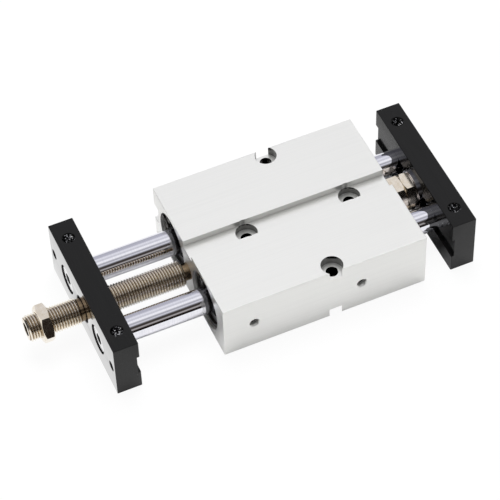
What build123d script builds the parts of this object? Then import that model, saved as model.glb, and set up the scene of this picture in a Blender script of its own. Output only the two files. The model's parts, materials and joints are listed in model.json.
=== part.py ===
from build123d import *
import math
import os

# Twin rod pneumatic cylinder with a through rod in each bore and an end plate
# on both ends. The cylinder body stands still. The two rods, their pistons and
# the two end plates slide along X as one carriage.
# The origin is on the body's underside, midway between the four mounting holes.
# +X points to the plate with the bumper bolt, +Z points up.

# Cylinder body
BODY_LENGTH = 97.5
BODY_WIDTH = 78.0
BODY_HEIGHT = 30.0
BODY_EDGE = 0.3
BODY_END_EDGE = 0.2
PATTERN_FROM_LEFT = 53.5
BORE_DIAMETER = 25.0
BORE_SPACING = 36.5
GROOVE_WIDTH = 9.5
GROOVE_DEPTH = 3.3
SENSOR_SLOT_HEIGHT = 9.5
SENSOR_SLOT_DEPTH = 4.6

# Mounting holes for M5 screws, counterbored from both faces
HOLE_SPACING_ALONG = 50.0
HOLE_SPACING_ACROSS = 70.0
HOLE_DIAMETER = 5.5
COUNTERBORE_DIAMETER = 10.0
COUNTERBORE_DEPTH = 4.6
GROOVE_COUNTERBORE_DEPTH = 3.7

# Air ports, tapped M5
PORT_PAST_COVER = 2.7
PORT_MINOR_DIAMETER = 4.2
PORT_THREAD_DEPTH = 5.5
PORT_CHAMFER = 0.6
AIRWAY_DIAMETER = 2.6

# Rod covers, held in the bore mouths by retaining rings
MOUTH_DIAMETER = 27.4
MOUTH_DEPTH = 5.2
RING_SETBACK = 1.4
RING_THICKNESS = 1.2
RING_GROOVE_DEPTH = 0.6
RING_BAND = 2.0
RING_PLAY = 0.05
RING_LUG_RADIUS = 2.3
RING_LUG_OUT = 1.0
RING_LUG_HOLE = 1.9
RING_LUG_ANGLE = 21.0
RING_GAP_ANGLE = 13.0
RING_TURN_FAR = 24.0
RING_TURN_NEAR = 58.0
LEFT_COVER_REACH = 12.0
COVER_CLEARANCE = 0.05
COVER_ROD_GAP = 0.2
ORING_SECTION = 1.9
ORING_GAP = 0.05
ORING_SIDES = 8
SEAL_SECTION = 2.6
SEAL_LENGTH = 3.0
SEAL_FROM_FACE = 2.6
SEAL_LIP_DEPTH = 1.4
SEAL_LIP_HALF = 0.4
SEAL_PLAY = 0.05
BUSH_WALL = 1.0
BUSH_STEP = 0.4
CUSHION_ROD_GAP = 1.0
CUSHION_THICKNESS = 2.0
CUSHION_WIDTH = 3.6

# Rods and pistons
ROD_DIAMETER = 12.0
ROD_CLEARANCE = 0.03
ROD_SEAT_DEPTH = 2.5
ROD_SEAT_CLEARANCE = 0.05
ROD_CHAMFER = 0.6
STROKE = 25.0
STOP_CLEARANCE = 0.3
PISTON_LENGTH = 27.4
PISTON_CHAMFER = 1.2
PISTON_CLEARANCE = 0.06
PISTON_SEAL_SECTION = 2.8
PISTON_SEAL_LENGTH = 3.0
PISTON_SEAL_INSET = 4.2
MAGNET_LENGTH = 4.0
MAGNET_WALL = 3.5
MAGNET_RIM = 0.5
MAGNET_PLAY = 0.05
PISTON_SEAL_PLAY = 0.1
CLIP_THICKNESS = 1.0
CLIP_RIM = 2.4
CLIP_RIM_GAP = 0.4
CLIP_PLAY = 0.05
CLIP_GROOVE_DEPTH = 0.5
CLIP_POCKET_DEPTH = 1.6

# End plates
PLATE_THICKNESS = 11.6
PLATE_WIDTH = 77.0
PLATE_HEIGHT = 29.8
PLATE_EDGE = 0.25
PLATE_GROOVE_WIDTH = 10.8
PLATE_GROOVE_DEPTH = 1.3
LEFT_GAP_AT_FULL_STROKE = 13.7
PLATE_FACE_HOLE_SPACING = 68.0
PLATE_FACE_HOLE_MINOR = 4.2
PLATE_FACE_HOLE_DEPTH = 8.0
PLATE_EDGE_HOLE_SPACING = 56.6
PLATE_EDGE_HOLE_MINOR = 5.0
STUD_HOLE_DIAMETER = 12.6
HOLE_CHAMFER = 0.5

# Screws
ROD_SCREW_DIAMETER = 8.0
ROD_SCREW_HOLE = 8.4
ROD_SCREW_TIP_CHAMFER = 0.8
ROD_SCREW_HEAD_CHAMFER = 0.6
ROD_TAP_RUNOUT = 2.0
ROD_SCREW_HEAD_DIAMETER = 13.0
ROD_SCREW_HEAD_HEIGHT = 5.0
ROD_SCREW_SOCKET = 5.0
ROD_SCREW_SOCKET_DEPTH = 3.0
ROD_SCREW_ENGAGEMENT = 12.0
ROD_SCREW_RECESS = 0.5
ROD_SCREW_HEAD_GAP = 0.5
THREAD_CLEARANCE = 0.03
STUD_DIAMETER = 12.0
STUD_CHAMFER = 1.0
STUD_NECK_DIAMETER = 8.0
STUD_NECK_LENGTH = 3.0
STUD_ROOT_DIAMETER = 7.1
STUD_ROOT_LENGTH = 10.5
STUD_ROOT_GAP = 0.5
STUD_SOCKET = 6.0
STUD_SOCKET_DEPTH = 4.0
STUD_PAST_PLATE = 26.3
STUD_RELIEF_DIAMETER = 10.4
STUD_RELIEF_PAST_PLATE = 1.8
STUD_RELIEF_IN_PLATE = 10.0
HEX_ACROSS_FLATS = 16.0
HEX_FACE_STEP = 0.2
NUT_THICKNESS = 5.0
HEAD_THICKNESS = 6.7
WASHER_THICKNESS = 1.0
WASHER_DIAMETER = 18.5
NUT_PAST_PLATE = 15.6
STOP_NUT_TURN = 58.0
BUMPER_TURN = 45.0
BOLT_SHORT_OF_FACE = 0.5

# Places worked out from the sizes above
AXIS_Z = BODY_HEIGHT / 2
BODY_LEFT = -PATTERN_FROM_LEFT
BODY_RIGHT = BODY_LEFT + BODY_LENGTH
CHAMBER_LEFT = BODY_LEFT + LEFT_COVER_REACH
CHAMBER_LENGTH = PISTON_LENGTH + STROKE + 2 * (CUSHION_THICKNESS + STOP_CLEARANCE)
CHAMBER_RIGHT = CHAMBER_LEFT + CHAMBER_LENGTH
RIGHT_COVER_REACH = BODY_RIGHT - CHAMBER_RIGHT
PORTS_X = (CHAMBER_LEFT + PORT_PAST_COVER, CHAMBER_RIGHT - PORT_PAST_COVER)
BUMPER_HEAD_LEFT = BODY_RIGHT + STOP_CLEARANCE
BUMPER_HEAD_RIGHT = BUMPER_HEAD_LEFT + HEAD_THICKNESS
LOCK_NUT_RIGHT = BUMPER_HEAD_RIGHT + NUT_THICKNESS
RIGHT_PLATE_INNER = LOCK_NUT_RIGHT + WASHER_THICKNESS
LEFT_PLATE_INNER = BODY_LEFT - STROKE - LEFT_GAP_AT_FULL_STROKE
LEFT_PLATE_OUTER = LEFT_PLATE_INNER - PLATE_THICKNESS
RIGHT_PLATE_OUTER = RIGHT_PLATE_INNER + PLATE_THICKNESS
SIDES = {"far": BORE_SPACING / 2, "near": -BORE_SPACING / 2}
PISTON_LEFT = CHAMBER_LEFT + CUSHION_THICKNESS + STOP_CLEARANCE
PISTON_RIGHT = PISTON_LEFT + PISTON_LENGTH
PISTON_MIDDLE = (PISTON_LEFT + PISTON_RIGHT) / 2
CLIPS_X = (PISTON_LEFT + CLIP_POCKET_DEPTH - CLIP_THICKNESS,
           PISTON_RIGHT - CLIP_POCKET_DEPTH)

parts = {}


def turned(points, y=0.0):
    """A solid of revolution about a line along X, from (x, radius) points."""
    profile = make_face(Polyline(*points, close=True))
    return Pos(0, y, AXIS_Z) * revolve(profile, Axis.X)


def tube(x0, x1, outer, inner, y=0.0):
    """A plain ring between two places on X."""
    return turned([(x0, inner / 2), (x1, inner / 2), (x1, outer / 2), (x0, outer / 2)], y)


def rod_x(x0, x1, diameter, y=0.0):
    """A plain round bar between two places on X."""
    return turned([(x0, 0), (x1, 0), (x1, diameter / 2), (x0, diameter / 2)], y)


def drill_z(x, y, z0, z1, diameter):
    """The space of a hole along Z."""
    hole = Cylinder(diameter / 2, z1 - z0, align=(Align.CENTER, Align.CENTER, Align.MIN))
    return Pos(x, y, z0) * hole


def drill_y(x, y0, y1, diameter):
    """The space of a hole along Y at the height of the bores."""
    hole = Cylinder(diameter / 2, y1 - y0, align=(Align.CENTER, Align.CENTER, Align.MIN))
    return Pos(x, y0, AXIS_Z) * Rot(-90, 0, 0) * hole


def o_ring(x, y, section_radius, ring_radius):
    """An O-ring about a line along X. Its round section is drawn with eight sides."""
    corners = [(x + section_radius * math.cos(angle), ring_radius + section_radius * math.sin(angle))
               for angle in (math.tau * (i + 0.5) / ORING_SIDES for i in range(ORING_SIDES))]
    return turned(corners, y)


def countersink_x(face, inward, diameter, y=0.0):
    """The small cone that breaks the edge of a hole along X."""
    r = diameter / 2
    return turned([(face, 0), (face, r + HOLE_CHAMFER), (face + inward * HOLE_CHAMFER, r),
                   (face + inward * HOLE_CHAMFER, 0)], y)


def countersink_z(x, y, face, inward, diameter):
    """The small cone that breaks the edge of a hole along Z."""
    r = diameter / 2
    cone = Cone(r + HOLE_CHAMFER, r, HOLE_CHAMFER,
                align=(Align.CENTER, Align.CENTER, Align.MIN))
    return Pos(x, y, face) * Rot(90 - 90 * inward, 0, 0) * cone


def hexagon_socket(face, inward, across_flats, depth, y=0.0):
    """The space of a hexagon socket that opens at a face across X."""
    start = min(face, face + inward * depth)
    socket = Plane.YZ.offset(start) * RegularPolygon(across_flats / math.sqrt(3), 6)
    return Pos(0, y, AXIS_Z) * extrude(socket, depth)


def hexagon_x(x0, x1, across_flats, turn, y=0.0):
    """A hexagonal bar along X with its corners chamfered at both ends."""
    corner = across_flats / math.sqrt(3)
    sketch = Plane.YZ.offset(x0) * RegularPolygon(corner, 6, rotation=turn)
    prism = Pos(0, 0, AXIS_Z) * extrude(sketch, x1 - x0)
    washer = across_flats / 2 - HEX_FACE_STEP
    slope = (corner - washer) * math.tan(math.radians(30))
    blank = turned([(x0, 0), (x0, washer), (x0 + slope, corner),
                    (x1 - slope, corner), (x1, washer), (x1, 0)])
    return Pos(0, y, 0) * (prism & blank)


def cylinder_body():
    """The extruded body with its bores, grooves, holes and ports."""
    half_w = BODY_WIDTH / 2
    half_g = GROOVE_WIDTH / 2
    slot = SENSOR_SLOT_HEIGHT / 2
    slot_y = half_w - SENSOR_SLOT_DEPTH
    top = BODY_HEIGHT
    outline = [
        (-half_w, 0), (half_w, 0), (half_w, AXIS_Z - slot), (slot_y, AXIS_Z - slot),
        (slot_y, AXIS_Z + slot), (half_w, AXIS_Z + slot), (half_w, top), (half_g, top),
        (half_g, top - GROOVE_DEPTH), (-half_g, top - GROOVE_DEPTH),
        (-half_g, top), (-half_w, top),
    ]
    profile = make_face(Polyline(*outline, close=True))
    outer_corners = [v for v in profile.vertices()
                     if v.Y in (0.0, top) and abs(abs(v.X) - half_w) < 0.01]
    profile = chamfer(outer_corners, BODY_EDGE)
    body = extrude(Plane.YZ.offset(BODY_LEFT) * profile, BODY_LENGTH)
    rims = [e for end in (BODY_LEFT, BODY_RIGHT)
            for e in body.edges().filter_by_position(Axis.X, end - 0.01, end + 0.01)]
    body = chamfer(rims, BODY_END_EDGE)

    for y in SIDES.values():
        ring_r = MOUTH_DIAMETER / 2 + RING_GROOVE_DEPTH
        for face, inward in ((BODY_LEFT, 1), (BODY_RIGHT, -1)):
            mouth = sorted((face, face + inward * MOUTH_DEPTH))
            body -= rod_x(*mouth, MOUTH_DIAMETER, y)
            groove = sorted((face + inward * RING_SETBACK,
                             face + inward * (RING_SETBACK + RING_THICKNESS)))
            body -= rod_x(*groove, 2 * ring_r, y)
        body -= rod_x(BODY_LEFT, BODY_RIGHT, BORE_DIAMETER, y)

    half_along = HOLE_SPACING_ALONG / 2
    half_across = HOLE_SPACING_ACROSS / 2
    floor = GROOVE_DEPTH + GROOVE_COUNTERBORE_DEPTH
    for x, y, depth in ((-half_along, 0, floor), (half_along, 0, floor),
                        (0, half_across, COUNTERBORE_DEPTH),
                        (0, -half_across, COUNTERBORE_DEPTH)):
        body -= drill_z(x, y, 0, top, HOLE_DIAMETER)
        body -= drill_z(x, y, 0, COUNTERBORE_DEPTH, COUNTERBORE_DIAMETER)
        body -= drill_z(x, y, top - depth, top, COUNTERBORE_DIAMETER)

    for x in PORTS_X:
        body -= drill_y(x, -half_w, -half_w + PORT_THREAD_DEPTH, PORT_MINOR_DIAMETER)
        body -= drill_y(x, -half_w, SIDES["far"], AIRWAY_DIAMETER)
        mouth_r = PORT_MINOR_DIAMETER / 2
        cone = Cone(mouth_r + PORT_CHAMFER, mouth_r, PORT_CHAMFER,
                    align=(Align.CENTER, Align.CENTER, Align.MIN))
        body -= Pos(x, -half_w, AXIS_Z) * Rot(-90, 0, 0) * cone

    body -= rod_x(BODY_LEFT, BODY_LEFT + STUD_ROOT_LENGTH, STUD_ROOT_DIAMETER)
    return body


def rod_cover(face, inward, reach, y):
    """A cover from the bore mouth to the chamber, with an open seal pocket and a bush seat."""
    outside = face + inward * (RING_SETBACK + RING_THICKNESS)
    shoulder = face + inward * MOUTH_DEPTH
    inside = face + inward * reach
    seal = outside + inward * SEAL_FROM_FACE
    seal_end = seal + inward * SEAL_LENGTH
    bush = seal_end + inward * BUSH_STEP
    rod_r = ROD_DIAMETER / 2 + COVER_ROD_GAP
    seal_r = ROD_DIAMETER / 2 + SEAL_SECTION
    bush_r = ROD_DIAMETER / 2 + ROD_CLEARANCE + BUSH_WALL
    flange_r = MOUTH_DIAMETER / 2 - COVER_CLEARANCE
    body_r = BORE_DIAMETER / 2 - COVER_CLEARANCE
    ring = oring_place(face, inward, reach)
    ring_half = ORING_SECTION / 2 + ORING_GAP
    ring_r = BORE_DIAMETER / 2 - ORING_SECTION - 2 * ORING_GAP
    return turned([
        (outside, flange_r), (shoulder, flange_r), (shoulder, body_r),
        (ring - inward * ring_half, body_r), (ring - inward * ring_half, ring_r),
        (ring + inward * ring_half, ring_r), (ring + inward * ring_half, body_r),
        (inside, body_r), (inside, bush_r), (bush, bush_r), (bush, rod_r),
        (seal_end, rod_r), (seal_end, seal_r), (outside, seal_r)], y)


def oring_place(face, inward, reach):
    """Where a cover's O-ring sits, midway between its shoulder and its inner end."""
    return face + inward * (MOUTH_DEPTH + reach) / 2


def rod_seal(face, inward, y):
    """A lip seal on the rod, with its lip groove towards the pressure."""
    start = face + inward * (RING_SETBACK + RING_THICKNESS + SEAL_FROM_FACE)
    end = start + inward * SEAL_LENGTH
    inner = ROD_DIAMETER / 2 + ROD_CLEARANCE
    outer = ROD_DIAMETER / 2 + SEAL_SECTION - SEAL_PLAY
    middle = (inner + outer) / 2
    lip = end - inward * SEAL_LIP_DEPTH
    return turned([(start, inner), (start, outer), (end, outer), (end, middle + SEAL_LIP_HALF),
                   (lip, middle), (end, middle - SEAL_LIP_HALF), (end, inner)], y)


def guide_bush(face, inward, reach, y):
    """A plain bush that carries the rod in its cover."""
    start = face + inward * (RING_SETBACK + RING_THICKNESS + SEAL_FROM_FACE
                             + SEAL_LENGTH + BUSH_STEP)
    end = face + inward * reach
    inner = ROD_DIAMETER + 2 * ROD_CLEARANCE
    return tube(*sorted((start, end)), inner + 2 * BUSH_WALL, inner, y)


def stop_cushion(end, inward, y):
    """A soft ring on the cover's inner face that the piston stops against."""
    inner = ROD_DIAMETER + 2 * CUSHION_ROD_GAP
    span = sorted((end, end + inward * CUSHION_THICKNESS))
    return tube(*span, inner + 2 * CUSHION_WIDTH, inner, y)


def retaining_ring(face, inward, turn, y):
    """An internal retaining ring with two lugs for pliers."""
    outer = MOUTH_DIAMETER / 2 + RING_GROOVE_DEPTH - RING_PLAY
    inner = outer - RING_BAND - RING_GROOVE_DEPTH
    lug_at = inner - RING_LUG_OUT
    half_gap = math.radians(RING_GAP_ANGLE)
    band = Circle(outer) - Circle(inner)
    reach = 2 * outer
    wedge = make_face(Polyline((0, 0), (reach, reach * math.tan(half_gap)),
                               (reach, -reach * math.tan(half_gap)), close=True))
    band -= wedge
    for sign in (1, -1):
        angle = math.radians(sign * RING_LUG_ANGLE)
        place = Pos(lug_at * math.cos(angle), lug_at * math.sin(angle))
        band += place * (Circle(RING_LUG_RADIUS) - Circle(RING_LUG_HOLE / 2))
        band -= place * Circle(RING_LUG_HOLE / 2)
    start = min(face + inward * RING_SETBACK,
                face + inward * (RING_SETBACK + RING_THICKNESS))
    sketch = Rot(0, 0, turn) * band
    ring = extrude(Plane.YZ.offset(start) * sketch, RING_THICKNESS)
    return Pos(0, y, AXIS_Z) * ring


def piston_rod(y):
    """A through rod, seated in both plates and tapped at each end for its screw."""
    r = ROD_DIAMETER / 2
    left = LEFT_PLATE_INNER - ROD_SEAT_DEPTH
    right = RIGHT_PLATE_INNER + ROD_SEAT_DEPTH
    clip_r = r - CLIP_GROOVE_DEPTH
    points = [(left, 0), (left, r - ROD_CHAMFER), (left + ROD_CHAMFER, r)]
    for x in CLIPS_X:
        points += [(x, r), (x, clip_r), (x + CLIP_THICKNESS, clip_r), (x + CLIP_THICKNESS, r)]
    points += [(right - ROD_CHAMFER, r), (right, r - ROD_CHAMFER), (right, 0)]
    rod = turned(points, y)
    depth = ROD_SCREW_ENGAGEMENT + ROD_TAP_RUNOUT
    rod -= rod_x(left, left + depth, ROD_SCREW_DIAMETER, y)
    rod -= rod_x(right - depth, right, ROD_SCREW_DIAMETER, y)
    return rod


def piston_half(end, inward, y):
    """One half of a piston, from its end face to the magnet."""
    outer = BORE_DIAMETER / 2 - PISTON_CLEARANCE
    inner = ROD_DIAMETER / 2 + ROD_CLEARANCE
    pocket = ROD_DIAMETER / 2 + CLIP_RIM
    seal_floor = outer - PISTON_SEAL_SECTION
    seal = end + inward * PISTON_SEAL_INSET
    seal_end = seal + inward * PISTON_SEAL_LENGTH
    middle = PISTON_MIDDLE
    magnet = middle - inward * MAGNET_LENGTH / 2
    magnet_r = outer - MAGNET_RIM - MAGNET_WALL
    pocket_floor = end + inward * CLIP_POCKET_DEPTH
    points = [(pocket_floor, inner), (pocket_floor, pocket), (end, pocket),
              (end, outer - PISTON_CHAMFER), (end + inward * PISTON_CHAMFER, outer),
              (seal, outer), (seal, seal_floor), (seal_end, seal_floor), (seal_end, outer),
              (magnet, outer), (magnet, magnet_r), (middle, magnet_r), (middle, inner)]
    return turned(points, y)


def piston_seal(end, inward, y):
    """A lip seal in a piston half, its lip groove towards the chamber."""
    outer = BORE_DIAMETER / 2 - PISTON_CLEARANCE / 2
    inner = BORE_DIAMETER / 2 - PISTON_CLEARANCE - PISTON_SEAL_SECTION + SEAL_PLAY
    start = end + inward * (PISTON_SEAL_INSET + PISTON_SEAL_PLAY)
    back = start + inward * (PISTON_SEAL_LENGTH - 2 * PISTON_SEAL_PLAY)
    middle = (inner + outer) / 2
    lip = start + inward * SEAL_LIP_DEPTH
    return turned([(back, inner), (back, outer), (start, outer), (start, middle + SEAL_LIP_HALF),
                   (lip, middle), (start, middle - SEAL_LIP_HALF), (start, inner)], y)


def magnet_ring(y):
    """The ring magnet clamped between the halves, read by a sensor in the slot."""
    outer = BORE_DIAMETER - 2 * (PISTON_CLEARANCE + MAGNET_RIM)
    inner = outer - 2 * (MAGNET_WALL - MAGNET_PLAY)
    half = MAGNET_LENGTH / 2
    return tube(PISTON_MIDDLE - half, PISTON_MIDDLE + half, outer, inner, y)


def piston_clip(x, y):
    """An external clip in a rod groove that holds the piston on the rod."""
    inner = ROD_DIAMETER / 2 - CLIP_GROOVE_DEPTH + CLIP_PLAY
    outer = ROD_DIAMETER / 2 + CLIP_RIM - CLIP_RIM_GAP
    band = Circle(outer) - Circle(inner)
    band -= Pos(0, -outer) * Rectangle(inner, 2 * outer)
    clip = extrude(Plane.YZ.offset(x) * band, CLIP_THICKNESS)
    return Pos(0, y, AXIS_Z) * clip


def end_plate(inner_x, outward):
    """A black end plate with its screw recesses, tapped holes and rod groove."""
    outer_x = inner_x + outward * PLATE_THICKNESS
    middle_x = (inner_x + outer_x) / 2
    z0 = AXIS_Z - PLATE_HEIGHT / 2
    z1 = AXIS_Z + PLATE_HEIGHT / 2
    plate = Pos(middle_x, 0, AXIS_Z) * Box(PLATE_THICKNESS, PLATE_WIDTH, PLATE_HEIGHT)
    plate = chamfer(plate.edges(), PLATE_EDGE)
    groove_x = inner_x + outward * PLATE_GROOVE_DEPTH / 2
    plate -= Pos(groove_x, 0, AXIS_Z) * Box(PLATE_GROOVE_DEPTH, PLATE_WIDTH,
                                            PLATE_GROOVE_WIDTH)
    head_r = ROD_SCREW_HEAD_DIAMETER / 2 + ROD_SCREW_HEAD_GAP
    recess = ROD_SCREW_HEAD_HEIGHT + ROD_SCREW_RECESS
    span = sorted((inner_x, outer_x))
    seat = sorted((outer_x - outward * recess, outer_x))
    rod_seat = sorted((inner_x, inner_x + outward * ROD_SEAT_DEPTH))
    for y in SIDES.values():
        plate -= rod_x(*span, ROD_SCREW_HOLE, y)
        plate -= rod_x(*seat, 2 * head_r, y)
        plate -= rod_x(*rod_seat, ROD_DIAMETER + 2 * ROD_SEAT_CLEARANCE, y)
    tapped = sorted((outer_x - outward * PLATE_FACE_HOLE_DEPTH, outer_x))
    for side in (1, -1):
        face_y = side * PLATE_FACE_HOLE_SPACING / 2
        plate -= rod_x(*tapped, PLATE_FACE_HOLE_MINOR, face_y)
        plate -= countersink_x(outer_x, -outward, PLATE_FACE_HOLE_MINOR, face_y)
        edge_y = side * PLATE_EDGE_HOLE_SPACING / 2
        plate -= countersink_z(middle_x, edge_y, z0, 1, PLATE_EDGE_HOLE_MINOR)
        plate -= countersink_z(middle_x, edge_y, z1, -1, PLATE_EDGE_HOLE_MINOR)
        plate -= drill_z(middle_x, edge_y, z0, z1, PLATE_EDGE_HOLE_MINOR)
    return plate


def rod_screw(inner_x, outward, y):
    """A low socket head screw that clamps a plate to a rod end."""
    outer_x = inner_x + outward * PLATE_THICKNESS
    top = outer_x - outward * ROD_SCREW_RECESS
    under = top - outward * ROD_SCREW_HEAD_HEIGHT
    tip = inner_x - outward * (ROD_SCREW_ENGAGEMENT - ROD_SEAT_DEPTH)
    head_r = ROD_SCREW_HEAD_DIAMETER / 2
    shank_r = ROD_SCREW_DIAMETER / 2 - THREAD_CLEARANCE
    tip_edge = ROD_SCREW_TIP_CHAMFER
    head_edge = ROD_SCREW_HEAD_CHAMFER
    screw = turned([(tip, 0), (tip, shank_r - tip_edge), (tip + outward * tip_edge, shank_r),
                    (under, shank_r), (under, head_r), (top - outward * head_edge, head_r),
                    (top, head_r - head_edge), (top, 0)], y)
    return screw - hexagon_socket(top, -outward, ROD_SCREW_SOCKET, ROD_SCREW_SOCKET_DEPTH, y)


def stop_stud():
    """The threaded stud screwed into the body, which the left plate slides along."""
    end = LEFT_PLATE_OUTER - STUD_PAST_PLATE
    r = STUD_DIAMETER / 2
    neck_r = STUD_NECK_DIAMETER / 2
    root_r = STUD_ROOT_DIAMETER / 2 - THREAD_CLEARANCE
    neck = BODY_LEFT - STUD_NECK_LENGTH
    root = BODY_LEFT + STUD_ROOT_LENGTH - STUD_ROOT_GAP
    relief_r = STUD_RELIEF_DIAMETER / 2
    relief = LEFT_PLATE_OUTER - STUD_RELIEF_PAST_PLATE
    relief_end = LEFT_PLATE_OUTER + STUD_RELIEF_IN_PLATE
    slope = r - relief_r
    stud = turned([(end, 0), (end, r - STUD_CHAMFER), (end + STUD_CHAMFER, r),
                   (relief - slope, r), (relief, relief_r), (relief_end, relief_r),
                   (relief_end + slope, r), (neck - STUD_CHAMFER, r), (neck, r - STUD_CHAMFER), (neck, neck_r),
                   (BODY_LEFT, neck_r), (BODY_LEFT, root_r), (root, root_r), (root, 0)])
    return stud - hexagon_socket(end, 1, STUD_SOCKET, STUD_SOCKET_DEPTH)


def hex_nut(x0, x1, turn, hole):
    """A thin hexagon nut."""
    return hexagon_x(x0, x1, HEX_ACROSS_FLATS, turn) - rod_x(x0, x1, hole)


def bumper_bolt():
    """The hexagon bolt in the right plate whose head meets the body."""
    under = BUMPER_HEAD_RIGHT
    tip = RIGHT_PLATE_OUTER - BOLT_SHORT_OF_FACE
    r = STUD_DIAMETER / 2 - THREAD_CLEARANCE
    head = hexagon_x(BUMPER_HEAD_LEFT, under, HEX_ACROSS_FLATS, BUMPER_TURN)
    shank = turned([(under, 0), (under, r), (tip - STUD_CHAMFER, r),
                    (tip, r - STUD_CHAMFER), (tip, 0)])
    return head + shank


parts["cylinder_body"] = cylinder_body()
parts["stop_stud"] = stop_stud()

ENDS = {"left": (BODY_LEFT, 1, LEFT_COVER_REACH), "right": (BODY_RIGHT, -1, RIGHT_COVER_REACH)}
TURNS = {"far": RING_TURN_FAR, "near": RING_TURN_NEAR}
for end_name, (face, inward, reach) in ENDS.items():
    for side, y in SIDES.items():
        key = end_name + "_" + side
        parts["rod_cover_" + key] = rod_cover(face, inward, reach, y)
        parts["guide_bush_" + key] = guide_bush(face, inward, reach, y)
        parts["rod_seal_" + key] = rod_seal(face, inward, y)
        oring_r = BORE_DIAMETER / 2 - ORING_SECTION / 2 - ORING_GAP
        parts["cover_oring_" + key] = o_ring(oring_place(face, inward, reach), y,
                                             ORING_SECTION / 2, oring_r)
        parts["retaining_ring_" + key] = retaining_ring(face, inward, TURNS[side], y)
        parts["stop_cushion_" + key] = stop_cushion(face + inward * reach, inward, y)

for side, y in SIDES.items():
    parts["piston_rod_" + side] = piston_rod(y)
    parts["piston_left_" + side] = piston_half(PISTON_LEFT, 1, y)
    parts["piston_right_" + side] = piston_half(PISTON_RIGHT, -1, y)
    parts["piston_magnet_" + side] = magnet_ring(y)
    parts["piston_seals_" + side] = Compound([piston_seal(PISTON_LEFT, 1, y),
                                              piston_seal(PISTON_RIGHT, -1, y)])
    parts["piston_clips_" + side] = Compound([piston_clip(x, y) for x in CLIPS_X])

left_plate = end_plate(LEFT_PLATE_INNER, -1)
left_plate -= rod_x(LEFT_PLATE_OUTER, LEFT_PLATE_INNER, STUD_HOLE_DIAMETER)
left_plate -= countersink_x(LEFT_PLATE_OUTER, 1, STUD_HOLE_DIAMETER)
right_plate = end_plate(RIGHT_PLATE_INNER, 1)
right_plate -= rod_x(RIGHT_PLATE_INNER, RIGHT_PLATE_OUTER, STUD_DIAMETER)
right_plate -= countersink_x(RIGHT_PLATE_OUTER, -1, STUD_DIAMETER)
parts["end_plate_left"] = left_plate
parts["end_plate_right"] = right_plate
parts["rod_screws_left"] = Compound([rod_screw(LEFT_PLATE_INNER, -1, y)
                                     for y in SIDES.values()])
parts["rod_screws_right"] = Compound([rod_screw(RIGHT_PLATE_INNER, 1, y)
                                      for y in SIDES.values()])
nut_right = LEFT_PLATE_OUTER - NUT_PAST_PLATE
parts["stop_nut"] = hex_nut(nut_right - NUT_THICKNESS, nut_right, STOP_NUT_TURN,
                            STUD_DIAMETER + 2 * THREAD_CLEARANCE)
parts["bumper_bolt"] = bumper_bolt()
parts["bumper_lock_nut"] = hex_nut(BUMPER_HEAD_RIGHT, LOCK_NUT_RIGHT, BUMPER_TURN,
                                   STUD_DIAMETER)
parts["bumper_washer"] = tube(LOCK_NUT_RIGHT, RIGHT_PLATE_INNER, WASHER_DIAMETER,
                              STUD_DIAMETER)

os.makedirs("parts", exist_ok=True)
for name, shape in parts.items():
    export_step(shape, "parts/" + name + ".step")
print(len(parts), "nodes written")
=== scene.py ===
# %% [markdown]
# The looks of a twin rod pneumatic cylinder.
# The object is a flat aluminium body with two chromed rods running through it, a black plate on each
# end of the rods, a threaded stop stud on the left and a bumper bolt on the right. Its pieces come in
# as a fixed model at their real size. This script gives each of them its finish, and cuts the threads
# that the plain model leaves out.

# %% Load the pieces
import json
import math

import bpy
from mathutils import Matrix, Vector


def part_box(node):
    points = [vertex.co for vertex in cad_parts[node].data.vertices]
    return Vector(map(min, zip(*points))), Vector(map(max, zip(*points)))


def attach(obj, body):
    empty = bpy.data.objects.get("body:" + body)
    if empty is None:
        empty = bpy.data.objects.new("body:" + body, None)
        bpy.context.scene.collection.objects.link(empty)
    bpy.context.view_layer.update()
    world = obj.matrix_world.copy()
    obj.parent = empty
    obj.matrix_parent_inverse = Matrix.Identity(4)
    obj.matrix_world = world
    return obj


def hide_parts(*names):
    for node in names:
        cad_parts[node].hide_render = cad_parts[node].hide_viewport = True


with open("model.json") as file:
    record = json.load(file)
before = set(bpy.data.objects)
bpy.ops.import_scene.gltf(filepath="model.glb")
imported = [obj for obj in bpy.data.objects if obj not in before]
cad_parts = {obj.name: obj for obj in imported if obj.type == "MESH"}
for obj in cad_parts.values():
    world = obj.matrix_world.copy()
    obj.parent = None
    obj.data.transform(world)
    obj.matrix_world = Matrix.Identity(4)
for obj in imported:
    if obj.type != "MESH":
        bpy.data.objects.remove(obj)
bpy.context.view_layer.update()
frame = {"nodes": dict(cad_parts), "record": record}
nodes = frame["nodes"]
MM = 0.001
print("pieces loaded:", len(nodes))

# %% [markdown]
# The camera stands where the photographer's stood: far off, high, and to the left of the long side.
# A long lens from far away keeps the parallel edges nearly parallel, as the picture shows them.
# Its place and turn were found by matching the corners of the body and the plates.

# %% Set up the camera
CAMERA_AT = Vector((-276.45, -619.57, 833.05)) * MM
CAMERA_TURN = (39.220, 1.502, -24.030)
LENS_MM = 171.23

bpy.ops.object.camera_add(location=CAMERA_AT, rotation=[math.radians(a) for a in CAMERA_TURN])
camera = bpy.context.object
camera.data.lens = LENS_MM
camera.data.sensor_width = 36.0
camera.data.clip_start = 0.01
bpy.context.scene.camera = camera
bpy.context.scene.view_settings.view_transform = "Standard"
print("camera height, m:", round(CAMERA_AT.z, 3))

# %% [markdown]
# Every material is a small tree of nodes. One function adds a node with its settings and its links,
# and one turns a colour from the hex number of a colour picker into the linear values that light
# is worked out in.

# %% Helpers for materials


def add_node(tree, kind, inputs=None, **settings):
    """Adds a node, makes its settings, and fills or links its inputs."""
    made = tree.nodes.new(kind)
    for name, value in settings.items():
        setattr(made, name, value)
    for name, value in (inputs or {}).items():
        socket = made.inputs[name]
        if isinstance(value, bpy.types.NodeSocket):
            tree.links.new(value, socket)
        else:
            socket.default_value = value
    return made


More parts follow.
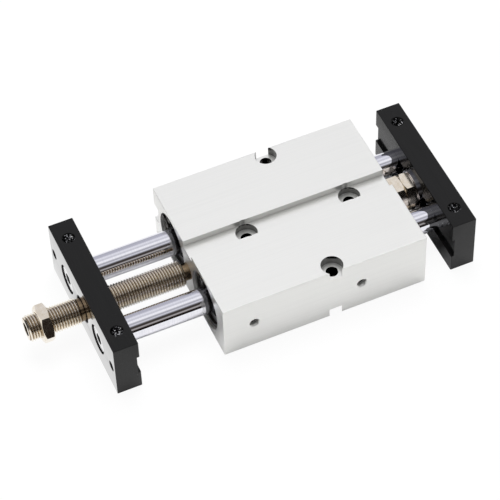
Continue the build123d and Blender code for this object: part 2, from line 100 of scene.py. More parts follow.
def colour(hex_code):
    """A linear colour from an sRGB hex code such as #E9E9E6."""
    channels = [int(hex_code[i:i + 2], 16) / 255 for i in (1, 3, 5)]
    linear = [c / 12.92 if c <= 0.04045 else ((c + 0.055) / 1.055) ** 2.4 for c in channels]
    return (*linear, 1.0)


def start_material(name):
    """A new material with an empty tree, and the place on the piece in millimetres."""
    material = bpy.data.materials.new(name)
    material.use_nodes = True
    tree = material.node_tree
    tree.nodes.clear()
    place = add_node(tree, "ShaderNodeTexCoord").outputs["Object"]
    in_mm = add_node(tree, "ShaderNodeVectorMath", {0: place, 1: (1 / MM,) * 3}, operation="MULTIPLY")
    return material, tree, in_mm.outputs["Vector"]


def stretched_noise(tree, place, lines_per_mm, detail=3.0):
    """Noise with its own number of features per millimetre along X, Y and Z."""
    scaled = add_node(tree, "ShaderNodeVectorMath", {0: place, 1: lines_per_mm}, operation="MULTIPLY")
    noise = add_node(tree, "ShaderNodeTexNoise",
                     {"Vector": scaled.outputs["Vector"], "Scale": 1.0, "Detail": detail})
    return noise.outputs["Fac"]


def spread(tree, value, low, high):
    """Turns a noise of 0.3 to 0.7 into a number from low to high."""
    return add_node(tree, "ShaderNodeMapRange", {"Value": value, "From Min": 0.3, "From Max": 0.7,
                                                 "To Min": low, "To Max": high}).outputs["Result"]


def between(tree, value, dark, light):
    """A colour between two hex codes, by a noise of 0.3 to 0.7."""
    amount = spread(tree, value, 0.0, 1.0)
    return add_node(tree, "ShaderNodeMix", {"Factor": amount, 6: colour(dark), 7: colour(light)},
                    data_type="RGBA").outputs[2]


def bump(tree, height, depth_mm):
    """The normals of a surface whose noise is that deep."""
    return add_node(tree, "ShaderNodeBump", {"Height": height, "Strength": 1.0,
                                             "Distance": depth_mm * MM}).outputs["Normal"]


def finish_material(tree, **inputs):
    """Ends a tree in one Principled shader with these inputs."""
    named = {name.replace("_", " ").title().replace("Ior", "IOR"): v for name, v in inputs.items()}
    shader = add_node(tree, "ShaderNodeBsdfPrincipled", named)
    add_node(tree, "ShaderNodeOutputMaterial", {"Surface": shader.outputs["BSDF"]})


# %% [markdown]
# The body is extruded aluminium, clear anodised. The oxide film is a little milky, so the metal
# scatters light more than it mirrors it, and reads as a light warm grey. Long, faint die lines run
# along the extrusion. They are finer than a pixel on the real one, so they are drawn about 0.5 mm wide.

# %% Clear anodised aluminium


def clear_anodised_aluminium():
    """The body's satin finish."""
    material, tree, place = start_material("clear anodised aluminium")
    die_lines = stretched_noise(tree, place, (0.012, 1.6, 1.6))
    finish_material(tree, base_color=between(tree, die_lines, "#E5E5E2", "#E8E8E5"), metallic=0.65,
                    roughness=0.28)
    return material


# %% [markdown]
# The end plates are aluminium too, dyed black in the same bath and sealed. The film is smooth and
# clear over the dye: dark from straight on, and nearly a mirror at a low angle, where the left
# plate's outer face turns white with the floor. A coat over a black base does both. The outer faces
# are lapped and mirror more, and the inner faces are left as the mill cut them and mirror less.

# %% Black anodised aluminium


SMOOTHEST_SHARE = 0.6
COAT_SHARE = 0.4


def black_anodised_aluminium(name, roughest, film_ior):
    """The end plates' glossy black, with a film that mirrors more as its IOR rises."""
    material, tree, place = start_material(name)
    milling = stretched_noise(tree, place, (1.5, 0.05, 1.5))
    finish_material(tree, base_color=between(tree, milling, "#0C0C0C", "#101010"), metallic=0.0,
                    roughness=spread(tree, milling, SMOOTHEST_SHARE * roughest, roughest),
                    ior=film_ior, coat_weight=1.0, coat_roughness=COAT_SHARE * roughest,
                    coat_ior=film_ior)
    return material


LAPPED = black_anodised_aluminium("lapped black anodised aluminium", 0.06, 1.7)
MILLED = black_anodised_aluminium("milled black anodised aluminium", 0.3, 1.1)

# %% [markdown]
# The rods are hard chromed steel, ground and polished. Grinding goes round the rod, so the marks
# that are left are thin rings, and they blur a reflection along the rod by a hair.

# %% Hard chrome


def hard_chrome():
    """The mirror finish of the rods."""
    material, tree, place = start_material("hard chrome")
    rings = stretched_noise(tree, place, (3.0, 0.05, 0.05), detail=2.0)
    finish_material(tree, base_color=between(tree, rings, "#E4E4EC", "#EFEFF4"), metallic=1.0,
                    roughness=spread(tree, rings, 0.03, 0.07), normal=bump(tree, rings, 0.0008))
    return material


# %% [markdown]
# The stud, the nuts and the bolt are steel with a thin nickel plate, which is warmer than chrome,
# and a little duller because it follows the marks of the thread rolling and the cold heading.
# On the stud, shade is painted into the roots of the thread: its colour darkens towards the axis.

# %% Nickel plated steel


def nickel_plated_steel():
    """The warm bright finish of the nuts and the bolt."""
    material, tree, place = start_material("nickel plated steel")
    cloud = stretched_noise(tree, place, (0.5, 0.5, 0.5))
    marks = stretched_noise(tree, place, (4.0, 1.0, 1.0), detail=2.0)
    finish_material(tree, base_color=between(tree, cloud, "#E4D8C4", "#F2EADC"), metallic=1.0,
                    roughness=spread(tree, cloud, 0.10, 0.18), normal=bump(tree, marks, 0.001))
    return material


def threaded_nickel_steel(axis_height, root_radius, shade_end_radius):
    """The same plate on a thread, with painted shade that is darkest at the root radius and gone from
    another radius on.
    """
    material, tree, place = start_material("nickel plated thread with painted root shade")
    cloud = stretched_noise(tree, place, (0.5, 0.5, 0.5))
    from_axis = add_node(tree, "ShaderNodeVectorMath", {0: place, 1: (0, 0, axis_height / MM)},
                         operation="SUBTRACT").outputs["Vector"]
    across = add_node(tree, "ShaderNodeVectorMath", {0: from_axis, 1: (0, 1, 1)},
                      operation="MULTIPLY").outputs["Vector"]
    radius = add_node(tree, "ShaderNodeVectorMath", {0: across}, operation="LENGTH").outputs["Value"]
    clean = add_node(tree, "ShaderNodeMapRange", {"Value": radius, "From Min": root_radius / MM,
                                                  "From Max": shade_end_radius / MM})
    # The dark brown at the root radius is painted shade, fading into the plate's own colour.
    shade = add_node(tree, "ShaderNodeMix", {"Factor": clean.outputs["Result"], 6: colour("#98846A"),
                                             7: between(tree, cloud, "#EEE6D6", "#F8F2E8")},
                     data_type="RGBA")
    finish_material(tree, base_color=shade.outputs[2], metallic=1.0,
                    roughness=spread(tree, cloud, 0.18, 0.26))
    return material


def bright_screw_steel():
    """The clean plated finish of the socket screws."""
    material, tree, place = start_material("bright plated screw steel")
    marks = stretched_noise(tree, place, (1.0, 1.0, 1.0))
    finish_material(tree, base_color=between(tree, marks, "#DADADA", "#EEEEEE"), metallic=1.0,
                    roughness=spread(tree, marks, 0.10, 0.18))
    return material


# %% [markdown]
# What is inside the body shows only at the mouths of the bores: the turned faces of the rod covers,
# the dark spring steel of the retaining rings, and the rubber lips on the rods. The rest gets its
# real finish all the same, because a reader may take the cylinder apart.

# %% Inner finishes


def turned_aluminium():
    """The rod covers and pistons, with rings left by the lathe."""
    material, tree, place = start_material("turned aluminium")
    rings = stretched_noise(tree, place, (2.0, 0.4, 0.4))
    finish_material(tree, base_color=between(tree, rings, "#8E8E90", "#A8A8AA"), metallic=1.0,
                    roughness=spread(tree, rings, 0.25, 0.38), normal=bump(tree, rings, 0.003))
    return material


def phosphated_spring_steel():
    """The dark grey of the retaining rings and clips."""
    material, tree, place = start_material("phosphated spring steel")
    cloud = stretched_noise(tree, place, (1.2, 1.2, 1.2))
    finish_material(tree, base_color=between(tree, cloud, "#2A2826", "#45423F"), metallic=0.8,
                    roughness=spread(tree, cloud, 0.35, 0.5))
    return material


def nitrile_rubber():
    """The black of the seals and O-rings."""
    material, tree, place = start_material("nitrile rubber")
    cloud = stretched_noise(tree, place, (1.5, 1.5, 1.5))
    finish_material(tree, base_color=between(tree, cloud, "#161616", "#222222"),
                    roughness=spread(tree, cloud, 0.5, 0.65), normal=bump(tree, cloud, 0.01))
    return material


def cast_polyurethane():
    """The amber of the stop cushions."""
    material, tree, place = start_material("cast polyurethane")
    cloud = stretched_noise(tree, place, (0.8, 0.8, 0.8))
    finish_material(tree, base_color=between(tree, cloud, "#B98A3A", "#C99B4A"),
                    roughness=spread(tree, cloud, 0.3, 0.42))
    return material


def sintered_bronze():
    """The porous bearing bronze of the guide bushes."""
    material, tree, place = start_material("sintered bronze")
    pores = stretched_noise(tree, place, (4.0, 4.0, 4.0))
    finish_material(tree, base_color=between(tree, pores, "#8A6A3C", "#B08C54"), metallic=1.0,
                    roughness=spread(tree, pores, 0.35, 0.55), normal=bump(tree, pores, 0.01))
    return material


def bonded_ferrite():
    """The dark magnet rings."""
    material, tree, place = start_material("bonded ferrite")
    cloud = stretched_noise(tree, place, (2.0, 2.0, 2.0))
    finish_material(tree, base_color=between(tree, cloud, "#2B2B2D", "#3A3A3C"),
                    roughness=spread(tree, cloud, 0.6, 0.75))
    return material


# %% [markdown]
# The walls of the holes differ from the faces round them. The threads are dark, in the plates partly
# from their black dye and for the rest painted shade, with light patches that are painted glints. The
# counterbores' walls are a darker grey, painted shade, with fine ridges from the cutter, and the drilled
# holes below them are painted nearly black for the shade deep in them. The long edges of the body are
# matt and a little lighter, a painted highlight.

# %% Holes and edges


def tapped_aluminium():
    """Dark threads, partly dye and partly painted shade, with painted glints here and there."""
    material, tree, place = start_material("tapped aluminium with painted shade and glints")
    marks = stretched_noise(tree, place, (1.2, 1.2, 1.2))
    # Where the noise peaks the colour turns light: painted glints on the crests.
    painted_highlight = add_node(tree, "ShaderNodeMapRange", {"Value": marks, "From Min": 0.55, "From Max": 0.61})
    shade = add_node(tree, "ShaderNodeMix", {"Factor": painted_highlight.outputs["Result"], 6: colour("#1A1A1A"),
                                             7: colour("#F2F2F2")}, data_type="RGBA")
    finish_material(tree, base_color=shade.outputs[2], metallic=1.0,
                    roughness=spread(tree, marks, 0.05, 0.1))
    return material


def bore_wall_with_painted_shade(name, dark, light):
    """The walls of the counterbores and of the screw holes, ridged finely by the cutter, with a colour
    darkened as painted shade.
    """
    material, tree, place = start_material(name)
    ridges = stretched_noise(tree, place, (0.3, 0.3, 6.0))
    finish_material(tree, base_color=between(tree, ridges, dark, light), metallic=1.0,
                    roughness=spread(tree, ridges, 0.12, 0.2))
    return material


def edge_highlight_aluminium():
    """The long edges of the body, matt and a little lighter: a painted highlight."""
    material, tree, place = start_material("aluminium edge with painted highlight")
    marks = stretched_noise(tree, place, (0.2, 2.0, 2.0))
    finish_material(tree, base_color=between(tree, marks, "#E2E2E0", "#F0F0EE"), metallic=0.1,
                    roughness=0.5)
    return material


TAPPED = tapped_aluminium()
# Counterbore walls a darker grey and drilled holes nearly black: painted shade in the recesses.
BORE_SHADE = bore_wall_with_painted_shade("bored aluminium with painted shade", "#6E6E6C", "#868684")
DRILLED_SHADE = bore_wall_with_painted_shade("drilled aluminium painted dark for shade", "#161616", "#2A2A2A")
EDGE_HIGHLIGHT = edge_highlight_aluminium()

# %% [markdown]
# Each slot of the record names one finish. A piece keeps its own mesh, and only its material changes.
# The washer is turned and bright plated, so it mirrors as the rods do.

# %% Put each finish on its pieces
FINISHES = {
    "anodised_body": clear_anodised_aluminium(),
    "black_anodised": black_anodised_aluminium("black anodised aluminium", 0.16, 1.2),
    "chromed_rod": hard_chrome(),
    "bright_screw": bright_screw_steel(),
    "nickel_thread": nickel_plated_steel(),
    "cover_aluminium": turned_aluminium(),
    "bearing_bronze": sintered_bronze(),
    "seal_rubber": nitrile_rubber(),
    "cushion_rubber": cast_polyurethane(),
    "spring_steel": phosphated_spring_steel(),
    "magnet_plastic": bonded_ferrite(),
}
for subpart in frame["record"]["subparts"]:
    piece = nodes[subpart["node"]]
    piece.data.materials.clear()
    piece.data.materials.append(FINISHES[subpart["material_slot"]])
nodes["bumper_washer"].data.materials[0] = FINISHES["chromed_rod"]
print("finishes:", len(FINISHES))

# %% [markdown]
# Some pieces need more than a finish. Each of those is changed on a copy of its own mesh, which then
# takes the plain piece's place. The plain mesh is loose triangles with stored normals, so a copy has
# its corners joined and those normals cleared before anything is cut out of it.


def deselect_all():
    """Leaves nothing selected, so that the next operator acts on one piece alone."""
    bpy.ops.object.select_all(action="DESELECT")


def select_only(piece):
    """Selects one piece and makes it the active one."""
    deselect_all()
    bpy.context.view_layer.objects.active = piece
    piece.select_set(True)


def copy_of_node(node_name, name):
    """A separate copy of a plain piece, with its loose triangles joined at their corners."""
    deselect_all()
    copy = nodes[node_name].copy()
    copy.data = nodes[node_name].data.copy()
    copy.name = name
    copy.parent = None
    for key in list(copy.keys()):
        if key.startswith("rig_"):
            del copy[key]
    bpy.context.scene.collection.objects.link(copy)
    bpy.context.view_layer.objects.active = copy
    copy.select_set(True)
    bpy.ops.mesh.customdata_custom_splitnormals_clear()
    bpy.ops.object.mode_set(mode="EDIT")
    bpy.ops.mesh.select_all(action="SELECT")
    bpy.ops.mesh.remove_doubles(threshold=1e-6)
    bpy.ops.object.mode_set(mode="OBJECT")
    return copy


def cut(piece, tool):
    """Takes the tool's space out of the piece, and removes the tool."""
    select_only(piece)
    take_out = piece.modifiers.new("cut", "BOOLEAN")
    take_out.operation = "DIFFERENCE"
    take_out.solver = "EXACT"
    take_out.object = tool
    bpy.ops.object.modifier_apply(modifier="cut")
    bpy.data.objects.remove(tool)


def own_finish(piece, finish, belongs):
    """Gives another finish to the faces for which belongs(centre, normal) is true."""
    if piece.data.materials.find(finish.name) < 0:
        piece.data.materials.append(finish)
    index = piece.data.materials.find(finish.name)
    for face in piece.data.polygons:
        if belongs(face.center, face.normal):
            face.material_index = index


def hand_over(piece, node_name, body_name):
    """Puts a finished copy in the place of its plain piece, and lets it ride on a body."""
    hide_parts(node_name)
    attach(piece, body_name)


# %% [markdown]
# A thread is cut as on a lathe: a tool with the section of the groove is moved along the bar while
# the bar turns. Here the tool's section is a small four-sided face, a Screw modifier sweeps it
# into a helix, and a Boolean takes that helix out of the bar.
# The groove has flanks at 60 degrees to each other and a narrow flat at its root.

# %% Sweep a thread's section along a helix
STUD_STEPS = 32
TAP_STEPS = 20
# Shares of the pitch: how deep a groove is cut, how far its tool stands proud, and half its flat
GROOVE_DEPTH = 0.61
TAP_DEPTH = 0.54
TOOL_PROUD = 0.10
HALF_FLAT = 1 / 16
FLANK_SLOPE = math.tan(math.radians(30))


def helix(name, corners, pitch, length, start, steps):
    """A closed helical bar about X. Its section's corners are (along X, radius), in metres."""
    deselect_all()
    bpy.ops.mesh.primitive_plane_add(size=1.0)
    bar = bpy.context.object
    bar.name = name
    for vertex, (along, radius) in zip(bar.data.vertices, corners):
        vertex.co = (start + along, 0.0, radius)
    sweep = bar.modifiers.new("sweep", "SCREW")
    sweep.axis = "X"
    sweep.angle = math.tau
    sweep.screw_offset = pitch
    sweep.iterations = round(length / pitch)
    sweep.steps = steps
    sweep.render_steps = steps
    sweep.use_merge_vertices = True
    sweep.merge_threshold = 1e-7
    bpy.ops.object.mode_set(mode="EDIT")
    bpy.ops.mesh.select_all(action="SELECT")
    bpy.ops.mesh.delete(type="ONLY_FACE")
    bpy.ops.object.mode_set(mode="OBJECT")
    bpy.ops.object.modifier_apply(modifier="sweep")
    bpy.ops.object.mode_set(mode="EDIT")
    bpy.ops.mesh.select_all(action="SELECT")
    bpy.ops.mesh.fill_holes(sides=4)
    bpy.ops.mesh.select_all(action="SELECT")
    bpy.ops.mesh.normals_make_consistent(inside=False)
    bpy.ops.object.mode_set(mode="OBJECT")
    return bar


def groove_section(outer_radius, pitch):
    """The corners of a 60 degree groove that is cut into a bar, in the plane primitive's order."""
    root_radius = outer_radius - GROOVE_DEPTH * pitch
    past_radius = outer_radius + TOOL_PROUD * pitch
    root_half = HALF_FLAT * pitch
    past_half = root_half + (past_radius - root_radius) * FLANK_SLOPE
    return [(-root_half, root_radius), (root_half, root_radius),
            (-past_half, past_radius), (past_half, past_radius)]


# %% [markdown]
# The stop stud is M12 with a fine thread of 1.25 mm pitch, cut from its tip to the neck beside the
# body. The blank is a copy of the plain stud, with its chamfered tip, its socket and its neck, so
# the thread runs out in the neck and fades in at the chamfer as a real one does.

# %% Cut the thread of the stop stud
STUD_PITCH = 1.25 * MM
STUD_RADIUS = 6.0 * MM
NECK_LENGTH = 3.0 * MM
NECK_RADIUS = 3.9 * MM
# How far below the crest the painted root shade ends, as a share of the pitch
SHADE_END_SHARE = 0.4
# A face whose normal is this much along an axis lies across it
ACROSS = 0.95
SHARP_SMOOTHING = math.radians(28)


body_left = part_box("cylinder_body")[0].x
stud_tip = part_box("stop_stud")[0].x
thread_start = stud_tip - STUD_PITCH
thread_length = body_left - NECK_LENGTH - thread_start
axis_z = (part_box("stop_stud")[0].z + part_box("stop_stud")[1].z) / 2

stud = copy_of_node("stop_stud", "threaded_stop_stud")
tool = helix("thread_tool", groove_section(STUD_RADIUS, STUD_PITCH), STUD_PITCH,
             thread_length, thread_start, STUD_STEPS)
for vertex in tool.data.vertices:
    vertex.co.z += axis_z
cut(stud, tool)
THREADED = threaded_nickel_steel(axis_z, STUD_RADIUS - GROOVE_DEPTH * STUD_PITCH,
                                 STUD_RADIUS - SHADE_END_SHARE * STUD_PITCH)
own_finish(stud, THREADED, lambda centre, normal: abs(normal.x) < ACROSS
           and math.hypot(centre.y, centre.z - axis_z) > NECK_RADIUS)
stud.data.shade_smooth()
bpy.ops.object.shade_smooth_by_angle(angle=SHARP_SMOOTHING)
hand_over(stud, "stop_stud", "barrel")
print("stud faces:", len(stud.data.polygons), "turns:", round(thread_length / STUD_PITCH))

# %% [markdown]
# The holes in the plates and the air ports are tapped. The plain model has them at the size of their
# drill, so a tap is run into each: the same helix, but its narrow edge points outwards into the wall.

# %% A tap for a hole


def tap_section(hole_radius, pitch):
    """The corners of a groove that is cut outwards into the wall of a hole."""
    inner_radius = hole_radius - TOOL_PROUD * pitch
    outer_radius = hole_radius + TAP_DEPTH * pitch
    outer_half = HALF_FLAT * pitch
    inner_half = outer_half + (outer_radius - inner_radius) * FLANK_SLOPE
    return [(-inner_half, inner_radius), (inner_half, inner_radius),
            (-outer_half, outer_radius), (outer_half, outer_radius)]


def tap(piece, mouth, inward, hole_radius, pitch, turns):
    """Cuts an internal thread from the mouth of a hole inwards."""
    tool = helix("tap", tap_section(hole_radius, pitch), pitch, turns * pitch, -pitch, TAP_STEPS)
    turn = Vector((1, 0, 0)).rotation_difference(Vector(inward)).to_matrix().to_4x4()
    tool.data.transform(Matrix.Translation(mouth) @ turn)
    cut(piece, tool)


# %% [markdown]
# After the cuts, the walls of the holes, the outer and inner faces of a plate and the long edges of
# the body get their own finishes, with painted shade in the holes and a painted highlight on the
# edges. The middle counterbores break through the wall of the locating groove, so the body is first
# sliced at the groove's floor, and only what lies below it takes the counterbores' painted shade.

# %% Dress a piece that has tapped holes
BODY_GROOVE_DEPTH = 3.3 * MM
SCREW_HOLE_RADIUS = 2.85 * MM
EDGE_REACH = 0.5 * MM
# A chamfer's normal is more than this much along the normal of each of the two faces it joins
CHAMFER = 0.6
# A face that is square to an axis has a normal more than this much along it
SQUARE = 0.99
# Where the threads' painted shade starts below the mouth, and how far round the hole it reaches
THREAD_START = 0.4 * MM
THREAD_REACH = 0.6
BROAD_SMOOTHING = math.radians(50)


def hole_wall_finish(piece, finish, mouth, inward, radius, depths):
    """Gives the wall of a hole another finish, between two depths below its mouth."""
    axis = Vector(inward)

    def on_wall(centre, normal):
        offset = centre - Vector(mouth)
        depth = offset.dot(axis)
        away = (offset - depth * axis).length
        return depths[0] < depth < depths[1] and away < radius and abs(normal.dot(axis)) < ACROSS

    own_finish(piece, finish, on_wall)


def slice_at(piece, height):
    """Splits every face of a piece that passes through a height."""
    bpy.ops.object.mode_set(mode="EDIT")
    bpy.ops.mesh.select_all(action="SELECT")
    bpy.ops.mesh.bisect(plane_co=(0, 0, height), plane_no=(0, 0, 1))
    bpy.ops.object.mode_set(mode="OBJECT")


def dress_tapped(node_name, body_name, holes, counterbores=()):
    """Replaces a plain piece by a copy with threads in these holes."""
    piece = copy_of_node(node_name, "tapped_" + node_name)
    low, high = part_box(node_name)
    if counterbores:
        slice_at(piece, high.z - BODY_GROOVE_DEPTH)
    for mouth, inward, hole_radius, pitch, turns in holes:
        tap(piece, mouth, inward, hole_radius, pitch, turns)
    for mouth, inward, hole_radius, pitch, turns in holes:
        hole_wall_finish(piece, TAPPED, mouth, inward, hole_radius + THREAD_REACH * pitch,
                  (THREAD_START, turns * pitch))
    for mouth, radius, depth in counterbores:
        hole_wall_finish(piece, BORE_SHADE, mouth, (0, 0, -1), radius, (0.0, depth))
        hole_wall_finish(piece, DRILLED_SHADE, mouth, (0, 0, -1), SCREW_HOLE_RADIUS, (depth, high.z - low.z))
    if counterbores:
        # The body's long edges take the painted highlight.
        own_finish(piece, EDGE_HIGHLIGHT, lambda centre, normal: min(abs(normal.y), abs(normal.z)) > CHAMFER
                   and min(centre.y - low.y, high.y - centre.y) < EDGE_REACH)
    else:
        outwards = 1 if high.x > 0 else -1
        outer_x = high.x if high.x > 0 else low.x
        own_finish(piece, LAPPED, lambda centre, normal: normal.x * outwards > SQUARE
                   and abs(centre.x - outer_x) < EDGE_REACH)
        own_finish(piece, MILLED, lambda centre, normal: normal.x * outwards < -SQUARE)
    select_only(piece)
    bpy.ops.object.shade_smooth_by_angle(angle=BROAD_SMOOTHING)
    rounded = piece.modifiers.new("rounded edges", "WEIGHTED_NORMAL")
    rounded.keep_sharp = True
    rounded.weight = 100
    bpy.ops.object.modifier_apply(modifier="rounded edges")
    hand_over(piece, node_name, body_name)
    print(node_name, "faces:", len(piece.data.polygons))


# %% [markdown]
# The holes' places come from the record, which lists each pattern's centre, axis and spacing. The
# plates have M6 holes in the top edge and M5 holes in the outer face, and the air ports are M5.

# %% Tap the holes that the picture looks into
M5_PITCH = 0.8 * MM
M6_PITCH = 1.0 * MM
EDGE_TURNS = 12
FACE_TURNS = 8
PORT_TURNS = 6
COUNTERBORE_RADIUS = 5.05 * MM
COUNTERBORE_DEPTH = 4.55 * MM
GROOVE_COUNTERBORE_DEPTH = 3.65 * MM
mounts = {mount["name"]: mount for mount in frame["record"]["mounts"]}


def plate_holes(side):
    """The tapped holes of one end plate: two in its top edge and two in its outer face."""
    plate_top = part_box("end_plate_" + side)[1].z
    edge = mounts[side + "_plate_edge_holes"]
    face = mounts[side + "_plate_face_holes"]
    inward = [-part for part in face["axis"]]
    holes = []
    for sign in (1, -1):
        edge_y = sign * edge["dims"]["spacing_y_mm"] * MM / 2
        face_y = sign * face["dims"]["spacing_x_mm"] * MM / 2
        holes.append(((edge["pos_m"][0], edge_y, plate_top), (0, 0, -1),
                      edge["dims"]["hole_r_mm"] * MM, M6_PITCH, EDGE_TURNS))
        holes.append(((face["pos_m"][0], face_y, face["pos_m"][2]), inward,
                      face["dims"]["hole_r_mm"] * MM, M5_PITCH, FACE_TURNS))
    return holes


for side in ("left", "right"):
    dress_tapped("end_plate_" + side, "carriage", plate_holes(side))
ports = [(mounts[name]["pos_m"], (0, 1, 0), mounts[name]["dims"]["r_mm"] * MM, M5_PITCH, PORT_TURNS)
         for name in ("left_air_port", "right_air_port")]
body_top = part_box("cylinder_body")[1].z
half_along = mounts["body_middle_holes"]["dims"]["spacing_x_mm"] * MM / 2
half_across = mounts["body_side_holes"]["dims"]["spacing_y_mm"] * MM / 2
middle = [((x, 0, body_top - BODY_GROOVE_DEPTH), COUNTERBORE_RADIUS, GROOVE_COUNTERBORE_DEPTH)
          for x in (-half_along, half_along)]
beside = [((0, y, body_top), COUNTERBORE_RADIUS, COUNTERBORE_DEPTH)
          for y in (-half_across, half_across)]
dress_tapped("cylinder_body", "barrel", ports, middle + beside)

# %% [markdown]
# In the picture the bumper bolt's head and its lock nut each have one flat that faces straight up and
# shines. The plain model has them 15 degrees further round, so turned copies take their place.

# %% Turn the bumper bolt and its lock nut
BUMPER_TURN = math.radians(15)


def turned_copy(node_name, body_name, angle):
    """Replaces a plain piece by a copy that is turned about the stud's axis."""
    piece = copy_of_node(node_name, "turned_" + node_name)
    axis = Matrix.Translation((0, 0, axis_z))
    piece.data.transform(axis @ Matrix.Rotation(angle, 4, "X") @ axis.inverted())
    bpy.ops.object.shade_smooth_by_angle(angle=SHARP_SMOOTHING)
    hand_over(piece, node_name, body_name)


for node_name in ("bumper_bolt", "bumper_lock_nut"):
    turned_copy(node_name, "carriage", BUMPER_TURN)
print("turned the bumper by degrees:", round(math.degrees(BUMPER_TURN)))

# %% [markdown]
# The studio is a pale floor under a soft overhead light, with a bright card on it left of the left
# plate, whose outer face mirrors that card. Polished metal shows what is around it and not much of its
# own, so for reflections the surroundings are banded as a product studio is: a dark gap low down in
# front, a grey panel and a dark one above it, bright softboxes overhead and a pale wall behind. The
# bands run round the X axis, along which the rods lie, and fall to black towards both of its ends.
# In a mirror the floor is dark close to the part and under it, where little sky reaches it.

# %% Build the studio
FLOOR_SIZE = 6.0
FLOOR_DROP = 0.0002
CARD_WIDTH = 80 * MM
CARD_DEPTH = 200 * MM
# How far sideways a mirror looks before the bands darken, where they are darkest, and how dark that is
END_GLOW = (0.42, 0.68)
END_LIGHT = 0.06
FILL_STRENGTH = 0.80
# The share of a sheet's white that the camera sees, and the open sky at which mirrors see it dark or white
CAMERA_SHARE = 0.93
SKY_DISTANCE = 45 * MM
SKY_RANGE = (0.35, 0.8)
LAMP_AT = (0.10, 0.35, 1.25)
LAMP_SIZE = 0.8
LAMP_POWER = 17.0
# What a mirror sees, by the angle from straight up towards the front, in degrees
MIRROR_BANDS = [
    (-100, "#9E9EA6"), (-80, "#BCBCC6"), (-52, "#C2C2CC"), (-43, "#E4E4EA"), (-34, "#F2F2F6"),
    (-24, "#DCDCE2"), (-16, "#D6D6DC"), (-8, "#FCFCFF"), (4, "#FFFFFF"), (11, "#C0C0C6"),
    (19, "#ACACB2"), (27, "#E6E6EC"), (34, "#A8A8AC"), (41, "#403C3A"), (55, "#46403C"),
    (61, "#B0ACAA"), (67, "#A8A4A0"), (72, "#3A3432"), (82, "#16110F"), (94, "#1E1917"),
]
# What lights a dull surface, by the same angle
FILL_BANDS = [
    (-100, "#DCDCDC"), (-60, "#EAEAE8"), (-20, "#E8E8E6"), (20, "#D8D8D6"), (60, "#C4C4C6"),
    (95, "#C8C8CC"),
]


def angle_round_x(tree):
    """The angle round the X axis from straight up towards the front, as a number from 0 to 1."""
    place = add_node(tree, "ShaderNodeTexCoord").outputs["Generated"]
    parts = add_node(tree, "ShaderNodeSeparateXYZ", {"Vector": place})
    towards_front = add_node(tree, "ShaderNodeMath", {0: parts.outputs["Y"], 1: -1.0},
                             operation="MULTIPLY").outputs["Value"]
    angle = add_node(tree, "ShaderNodeMath", {0: towards_front, 1: parts.outputs["Z"]},
                     operation="ARCTAN2").outputs["Value"]
    return add_node(tree, "ShaderNodeMapRange", {"Value": angle, "From Min": -math.pi,
                                                 "From Max": math.pi}).outputs["Result"]


def dark_ends(tree):
    """How bright the bands are, falling to almost nothing towards both ends of the X axis."""
    place = add_node(tree, "ShaderNodeTexCoord").outputs["Generated"]
    parts = add_node(tree, "ShaderNodeSeparateXYZ", {"Vector": place})
    sideways = add_node(tree, "ShaderNodeMath", {0: parts.outputs["X"]},
                        operation="ABSOLUTE").outputs["Value"]
    return add_node(tree, "ShaderNodeMapRange", {"Value": sideways, "From Min": END_GLOW[0],
                                                 "From Max": END_GLOW[1], "To Min": 1.0,
                                                 "To Max": END_LIGHT}).outputs["Result"]


def band_colours(tree, along, bands):
    """A ramp with a colour at each band's angle."""
    ramp = add_node(tree, "ShaderNodeValToRGB", {"Fac": along})
    stops = ramp.color_ramp.elements
    for i, (degrees, hex_code) in enumerate(bands):
        at = (degrees + 180) / 360
        stop = stops[i] if i < len(stops) else stops.new(at)
        stop.position = at
        stop.color = colour(hex_code)
    return ramp.outputs["Color"]


def build_world():
    """White for the camera, a soft gradient for dull surfaces, and bands for mirrors."""
    world = bpy.data.worlds.new("studio")
    bpy.context.scene.world = world
    world.use_nodes = True
    tree = world.node_tree
    tree.nodes.clear()
    rays = add_node(tree, "ShaderNodeLightPath").outputs
    along = angle_round_x(tree)
    fill = add_node(tree, "ShaderNodeBackground", {"Color": band_colours(tree, along, FILL_BANDS),
                                                   "Strength": FILL_STRENGTH})
    mirrored = add_node(tree, "ShaderNodeBackground",
                        {"Color": band_colours(tree, along, MIRROR_BANDS),
                         "Strength": dark_ends(tree)})
    white = add_node(tree, "ShaderNodeBackground", {"Color": (1, 1, 1, 1), "Strength": 1.0})
    first = add_node(tree, "ShaderNodeMixShader", {"Fac": rays["Is Glossy Ray"],
                                                   1: fill.outputs[0], 2: mirrored.outputs[0]})
    second = add_node(tree, "ShaderNodeMixShader", {"Fac": rays["Is Camera Ray"],
                                                    1: first.outputs[0], 2: white.outputs[0]})
    add_node(tree, "ShaderNodeOutputWorld", {"Surface": second.outputs[0]})


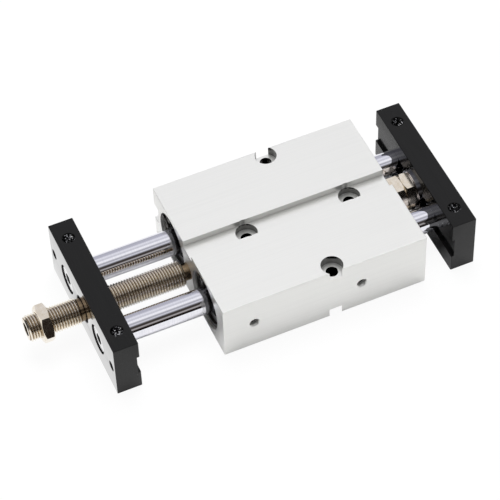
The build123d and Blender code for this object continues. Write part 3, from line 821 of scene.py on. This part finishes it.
def lay_sheet(name, centre, width, depth, gap_light):
    """A pale sheet that reads white to the camera. Mirrors see it dark where little sky reaches it."""
    deselect_all()
    bpy.ops.mesh.primitive_plane_add(size=1.0, location=centre)
    sheet = bpy.context.object
    sheet.name = name
    sheet.scale = (width, depth, 1.0)
    bpy.ops.object.transform_apply(location=False, rotation=False, scale=True)
    material, tree, place = start_material(name + " paint")
    rays = add_node(tree, "ShaderNodeLightPath").outputs
    to_camera = add_node(tree, "ShaderNodeMath", {0: rays["Is Camera Ray"], 1: CAMERA_SHARE},
                         operation="MULTIPLY").outputs["Value"]
    sky = add_node(tree, "ShaderNodeAmbientOcclusion", {"Distance": SKY_DISTANCE}, samples=8).outputs["AO"]
    open_sky = add_node(tree, "ShaderNodeMapRange", {"Value": sky, "From Min": SKY_RANGE[0],
                                                     "From Max": SKY_RANGE[1],
                                                     "To Min": gap_light}).outputs["Result"]
    to_mirror = add_node(tree, "ShaderNodeMath", {0: rays["Is Glossy Ray"], 1: open_sky},
                         operation="MULTIPLY").outputs["Value"]
    share = add_node(tree, "ShaderNodeMath", {0: to_camera, 1: to_mirror},
                     operation="MAXIMUM").outputs["Value"]
    paint = add_node(tree, "ShaderNodeBsdfDiffuse", {"Color": colour("#F4F4F6")})
    glow = add_node(tree, "ShaderNodeEmission", {"Color": (1, 1, 1, 1), "Strength": 1.0})
    mixed = add_node(tree, "ShaderNodeMixShader", {"Fac": share, 1: paint.outputs[0],
                                                   2: glow.outputs[0]})
    add_node(tree, "ShaderNodeOutputMaterial", {"Surface": mixed.outputs[0]})
    sheet.data.materials.append(material)


def add_lamp(name, location, size, power):
    """A square soft lamp that points at the object and does not show in mirrors."""
    deselect_all()
    aim = (-Vector(location)).to_track_quat("-Z", "Y").to_euler()
    bpy.ops.object.light_add(type="AREA", location=location, rotation=aim)
    lamp = bpy.context.object
    lamp.name = name
    lamp.data.size = size
    lamp.data.energy = power
    lamp.visible_glossy = False


build_world()
lay_sheet("floor", (0, 0, -FLOOR_DROP), FLOOR_SIZE, FLOOR_SIZE, 0.0)
card_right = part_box("end_plate_left")[0].x
card_middle = (card_right - CARD_WIDTH / 2, 0, -FLOOR_DROP / 2)
lay_sheet("bright card", card_middle, CARD_WIDTH, CARD_DEPTH, 1.0)
add_lamp("overhead softbox", LAMP_AT, LAMP_SIZE, LAMP_POWER)
print("studio built")
